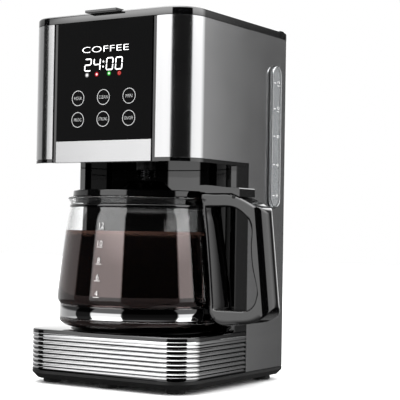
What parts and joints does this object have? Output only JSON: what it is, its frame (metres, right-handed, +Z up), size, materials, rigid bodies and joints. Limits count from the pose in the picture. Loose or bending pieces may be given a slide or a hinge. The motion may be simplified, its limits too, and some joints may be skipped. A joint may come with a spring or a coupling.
{
  "type": "drip coffee maker",
  "caption": "Drip coffee maker with a brushed steel head, touch control panel, ribbed base, hinged top lid, side water gauge and a glass carafe with a hinged lid.",
  "frame": {"origin": "on the surface the feet stand on, under the middle of the casing", "axes": "+X is the machine's right (the carafe handle's side), -Y its front (control panel), +Z up"},
  "size_m": [0.2342, 0.202, 0.3423],
  "materials": {
    "black_plastic": "matt moulded",
    "gloss_black": "high gloss",
    "rubber": "matt",
    "silicone": "satin",
    "hose_silicone": "translucent satin",
    "chrome": "bright plated",
    "polished_trim": "satin bright",
    "stainless": "fine brushed",
    "coated_steel": "non-stick coating",
    "cast_aluminium": "as cast",
    "zinc_steel": "zinc plated",
    "white_plastic": "moulded",
    "board_green": "solder mask",
    "display_black": "smoked",
    "panel_glass": "black back-printed",
    "tank_plastic": "translucent grey",
    "gauge_clear": "clear",
    "gauge_grey": "smoked grey",
    "filter_mesh": "fine woven",
    "carafe_glass": "clear"
  },
  "bodies": {
    "housing": {"base_tray": "black_plastic", "feet": "rubber", "base_band": "chrome", "base_deck": "gloss_black", "warming_plate": "coated_steel", "plate_gasket": "silicone", "heater": "cast_aluminium", "heater_bracket": "zinc_steel", "bracket_screw": "zinc_steel", "thermostat": "zinc_steel", "thermal_fuses": "white_plastic", "power_board": "board_green", "power_relay": "black_plastic", "board_standoffs": "black_plastic", "tray_screws": "zinc_steel", "column": "gloss_black", "head_frame": "gloss_black", "left_sheet": "stainless", "right_sheet": "stainless", "rear_cover": "stainless", "cover_screws": "zinc_steel", "cord_gland": "black_plastic", "control_panel": "panel_glass", "trim_bar": "polished_trim", "panel_bezel": "gloss_black", "control_board": "board_green", "display": "display_black", "indicator_lamps": "white_plastic", "touch_springs": "zinc_steel", "water_tank": "tank_plastic", "gauge_gasket": "silicone", "gauge_window": "gauge_clear", "gauge_scale": "gauge_grey", "check_valve": "white_plastic", "valve_ball": "white_plastic", "inlet_hose": "hose_silicone", "outlet_hose": "hose_silicone", "hose_clips": "zinc_steel", "riser_tube": "hose_silicone", "riser_grommet": "silicone", "riser_cup": "silicone", "brew_chamber": "black_plastic", "rear_strip": "gloss_black", "lid_hinge_pin": "zinc_steel"},
    "lid": {"lid": "gloss_black", "lid_tab": "gloss_black", "lid_liner": "black_plastic"},
    "carafe": {"carafe_glass": "carafe_glass", "carafe_band": "chrome", "neck_band": "chrome", "handle": "gloss_black", "handle_screw": "zinc_steel", "carafe_lid_pin": "zinc_steel"},
    "carafe_lid": {"carafe_lid": "gloss_black"},
    "basket": {"filter_basket": "black_plastic", "mesh_filter": "filter_mesh", "filter_grip": "black_plastic", "drip_spring": "zinc_steel"},
    "drip_stop": {"drip_stem": "white_plastic", "drip_seal": "silicone"}
  },
  "joints": [
    {"name": "lid_hinge", "type": "hinge", "parent": "housing", "child": "lid", "pos_m": [0, 0.0769, 0.3372], "axis": [-1, 0, 0], "range_deg": [0, 90]},
    {"name": "carafe_slide", "type": "slide", "parent": "housing", "child": "carafe", "axis": [0, -1, 0], "range_m": [0, 0.24]},
    {"name": "carafe_lid_hinge", "type": "hinge", "parent": "carafe", "child": "carafe_lid", "pos_m": [0.1056, -0.024, 0.175], "axis": [0, 1, 0], "range_deg": [0, 4.5]},
    {"name": "basket_lift", "type": "slide", "parent": "housing", "child": "basket", "axis": [0, 0, 1], "range_m": [0, 0.007]},
    {"name": "drip_stop_lift", "type": "slide", "parent": "basket", "child": "drip_stop", "axis": [0, 0, 1], "range_m": [0, 0.0085], "stiffness_N_per_m": 60, "springref_m": -0.004, "deforming": ["drip_spring"]}
  ],
  "couplings": [
    {"joint": "drip_stop_lift", "follows": "carafe_lid_hinge", "m_per_rad": 0.1056}
  ]
}
